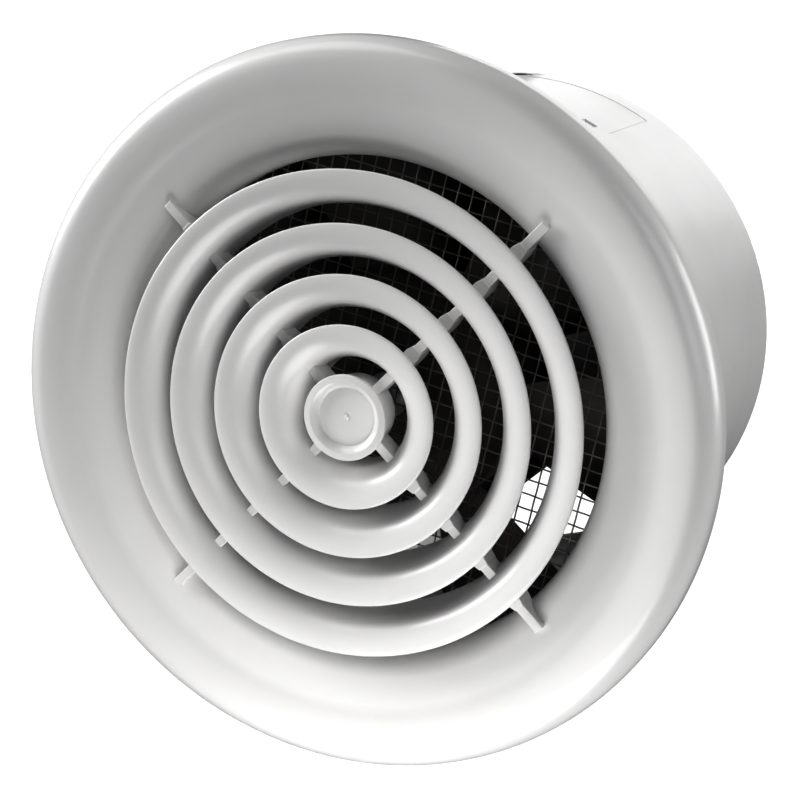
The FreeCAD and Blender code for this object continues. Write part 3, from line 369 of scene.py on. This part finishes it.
def ring_vane(mesh, radius):
    """One bell-shaped ring: a rounded outer edge, a quarter roll inwards and a nearly straight throat."""
    ridge, rim = RING_FRONT + RIDGE, radius - RING_LAND
    throat, knee = rim - VANE_ROLL, ridge - VANE_ROLL
    points = scaled([
        (radius, RING_FRONT), (rim, ridge), (throat, knee), (throat - DRAFT, RING_BACK),
        (throat - DRAFT + VANE_WALL, RING_BACK), (throat + VANE_WALL, knee),
        (rim, ridge - VANE_WALL), (radius, ridge - VANE_WALL),
    ])
    line = path(points, {1: (RIGHT, VANE_ROLL * MM), 5: (LEFT, (VANE_ROLL - VANE_WALL) * MM)}, 20)
    spun(mesh, eased(line, EDGE_ROUND * MM, steps=4), RING_SEGMENTS)


def button(mesh):
    """The centre button: a rolled ridge round a shallow floor with the scar of the moulding gate."""
    points = scaled([
        *BUTTON_SCAR, (BUTTON_FLOOR_RADIUS, BUTTON_FLOOR), BUTTON_RIDGE, (BUTTON_RADIUS, RING_FRONT),
        (BUTTON_RADIUS, BUTTON_RIM_BACK), (STEM_OUTER, BUTTON_UNDERSIDE), (STEM_OUTER, STRUT_BACK),
        (STEM_INNER, STRUT_BACK), (STEM_INNER, BUTTON_UNDERSIDE), (0, BUTTON_UNDERSIDE),
    ])
    line = path(points, {4: (LEFT, 4.5 * MM)})
    spun(mesh, eased(line, 0.3 * MM, closed=False), BUTTON_SEGMENTS, closed=False)


def strut(mesh, degrees):
    """A flat spoke that runs under the rings, widens at each one and rests its tip on the lip."""
    points = scaled([
        (STRUT_ROOT, STRUT_BACK), (SEAT_RADIUS, STRUT_BACK), (LIP_RADIUS, SEAT_HEIGHT),
        (STRUT_TIP, TIP_HEIGHT), (STRUT_TIP, STRUT_FRONT), (STRUT_ROOT, STRUT_FRONT),
    ])
    outline = path(points, {1: (LEFT, SEAT_ARC * MM)}, steps=8)
    slab(mesh, outline, STRUT_WIDTH * MM, spoke(degrees), 0.35 * MM)
    leg = scaled(rectangle(LEG_INNER, LEG_OUTER, LEG_BACK, LEG_FRONT))
    slab(mesh, path(leg), STRUT_WIDTH * MM, spoke(degrees))
    middle, depth = (GUSSET_FRONT + STRUT_BACK) / 2 * MM, (GUSSET_FRONT - STRUT_BACK) * MM
    place = spoke_flat(degrees)
    wide, narrow = GUSSET_HALF_WIDTH, GUSSET_TIP_HALF_WIDTH
    for radius in RING_RADII:
        root, bend, tip = radius + GUSSET_ROOT, radius + GUSSET_BEND, radius + GUSSET_TIP
        gusset = scaled([
            (root, -wide), (bend, -wide), (tip, -narrow), (tip, narrow), (bend, wide), (root, wide),
        ])
        slab(mesh, path(gusset), depth, lambda u, v, w: place(u, v, w + middle), 0.3 * MM)


def grille():
    mesh = bmesh.new()
    for radius in RING_RADII:
        ring_vane(mesh, radius)
    button(mesh)
    for quarter in range(4):
        strut(mesh, 45 + 90 * quarter)
    finished("ring_grille_moulding", mesh, "grille", "white_abs", ["ring_grille"])


# ---------------------------------------------------------------- insect screen

PITCH, WIRE_RADIUS, CRIMP, OPEN_RADIUS = 5.08 * MM, 0.3 * MM, 0.2 * MM, 90.4 * MM
WIRE_SIDES, STEPS_PER_PITCH = 6, 4
SCREEN_TURN = math.radians(13.5)
SCREEN_LEVEL = -8.35 * MM
HEM_INNER, HEM_OUTER, HEM_FRONT, HEM_BACK, HEM_SEGMENTS = 89.6, 92, -8.05, -8.65, 160


def wire(mesh, offset, along_first, phase):
    """One crimped wire of the weave, as a six-sided tube that dips under and over its crossings."""
    half = math.sqrt(OPEN_RADIUS ** 2 - offset ** 2)
    steps = max(8, round(2 * half / PITCH * STEPS_PER_PITCH))
    rings = []
    for step in range(steps + 1):
        run = -half + 2 * half * step / steps
        rise = CRIMP * math.cos(math.pi * run / PITCH + phase)
        ring = []
        for corner in range(WIRE_SIDES):
            turn = 2 * math.pi * corner / WIRE_SIDES
            side, level = offset + WIRE_RADIUS * math.cos(turn), rise + WIRE_RADIUS * math.sin(turn)
            u, v = (run, side) if along_first else (side, run)
            x = u * math.cos(SCREEN_TURN) + v * math.sin(SCREEN_TURN)
            z = -u * math.sin(SCREEN_TURN) + v * math.cos(SCREEN_TURN)
            ring.append(mesh.verts.new((x, -(SCREEN_LEVEL + level), z)))
        rings.append(ring)
    for ring, following in zip(rings, rings[1:]):
        for corner in range(WIRE_SIDES):
            other = (corner + 1) % WIRE_SIDES
            mesh.faces.new((ring[corner], ring[other], following[other], following[corner]))


def insect_screen():
    mesh = bmesh.new()
    reach = int(OPEN_RADIUS // PITCH)
    for number in range(-reach, reach + 1):
        offset = (number + 0.5) * PITCH
        if abs(offset) > OPEN_RADIUS - PITCH / 2:
            continue
        odd = math.pi * (number % 2)
        wire(mesh, offset, True, odd)
        wire(mesh, offset, False, odd + math.pi)
    hem = scaled(rectangle(HEM_INNER, HEM_OUTER, HEM_FRONT, HEM_BACK))
    spun(mesh, eased(path(hem), 0.15 * MM), HEM_SEGMENTS)
    finished("woven_insect_screen", mesh, "casing", "mesh_steel", ["insect_screen"])


bell_mouth()
grille()
insect_screen()


# ---------------------------------------------------------------- studio

SWEEP_RADIUS, FLOOR_LEVEL = 6, -0.6
AMBIENT = 0.01
EXPOSURE, GAMMA = 0.3, 0.72
PANEL_DISTANCE, PANEL_SIZE = 1.8, 1.0


def glowing_white():
    """The sweep's even white, which doesn't depend on the lamps."""
    material = bpy.data.materials.new("studio_white")
    material.use_nodes = True
    tree = material.node_tree
    tree.nodes.clear()
    glow = tree.nodes.new("ShaderNodeEmission")
    glow.inputs["Color"].default_value = (1, 1, 1, 1)
    glow.inputs["Strength"].default_value = 1.0
    output = tree.nodes.new("ShaderNodeOutputMaterial")
    tree.links.new(glow.outputs["Emission"], output.inputs["Surface"])
    return material


def floor():
    """A plain white sweep, well below the fan, that gives no light of its own to the fan."""
    data = bpy.data.meshes.new("floor")
    mesh = bmesh.new()
    bmesh.ops.create_uvsphere(mesh, u_segments=48, v_segments=24, radius=SWEEP_RADIUS)
    for vertex in mesh.verts:
        vertex.co.z = max(vertex.co.z, FLOOR_LEVEL)
    mesh.to_mesh(data)
    mesh.free()
    sweep = bpy.data.objects.new("floor", data)
    bpy.context.scene.collection.objects.link(sweep)
    data.materials.append(glowing_white())
    sweep.visible_diffuse = False
    sweep.visible_glossy = False
    sweep.visible_transmission = False
    sweep.visible_shadow = False


def towards(azimuth, elevation):
    """The unit vector from the fan to a viewpoint, in degrees right of and above the front."""
    side, lift = math.radians(azimuth), math.radians(elevation)
    return Vector((math.sin(side) * math.cos(lift), -math.cos(side) * math.cos(lift), math.sin(lift)))


def softbox(name, azimuth, elevation, power, distance=PANEL_DISTANCE, size=PANEL_SIZE):
    """A square soft panel aimed at the fan: degrees right of and above the front, watts and metres."""
    data = bpy.data.lights.new(name, "AREA")
    data.size = size
    data.energy = power
    lamp = bpy.data.objects.new(name, data)
    lamp.visible_camera = False
    bpy.context.scene.collection.objects.link(lamp)
    away = towards(azimuth, elevation)
    lamp.location = away * distance
    lamp.rotation_euler = (-away).to_track_quat("-Z", "Y").to_euler()


def studio():
    floor()
    softbox("key", -80, 25, 32)
    softbox("top", -50, 60, 8)
    softbox("fill", 45, 15, 7)
    softbox("side", 110, 10, 17)
    softbox("rear", 180, 15, 5)
    softbox("low", 10, -50, 0.6, distance=0.3, size=0.2)
    world = bpy.data.worlds.new("studio")
    bpy.context.scene.world = world
    world.use_nodes = True
    world.node_tree.nodes["Background"].inputs["Color"].default_value = (1, 1, 1, 1)
    world.node_tree.nodes["Background"].inputs["Strength"].default_value = AMBIENT
    view = bpy.context.scene.view_settings
    view.view_transform = "Standard"
    view.exposure = EXPOSURE
    view.gamma = GAMMA


CAMERA_AZIMUTH, CAMERA_ELEVATION, CAMERA_DISTANCE = 22.06, 13.03, 0.7711
CAMERA_TARGET = Vector((0.0013, 0.030, -0.0036))
LENS, SENSOR = 99.17, 36


def camera():
    """The photograph's view: a long lens from the right and a little above."""
    data = bpy.data.cameras.new("camera")
    data.lens = LENS
    data.sensor_width = SENSOR
    holder = bpy.data.objects.new("camera", data)
    bpy.context.scene.collection.objects.link(holder)
    holder.location = CAMERA_TARGET + towards(CAMERA_AZIMUTH, CAMERA_ELEVATION) * CAMERA_DISTANCE
    holder.rotation_euler = (math.pi / 2 - math.radians(CAMERA_ELEVATION), 0, math.radians(CAMERA_AZIMUTH))
    bpy.context.scene.camera = holder


studio()
camera()
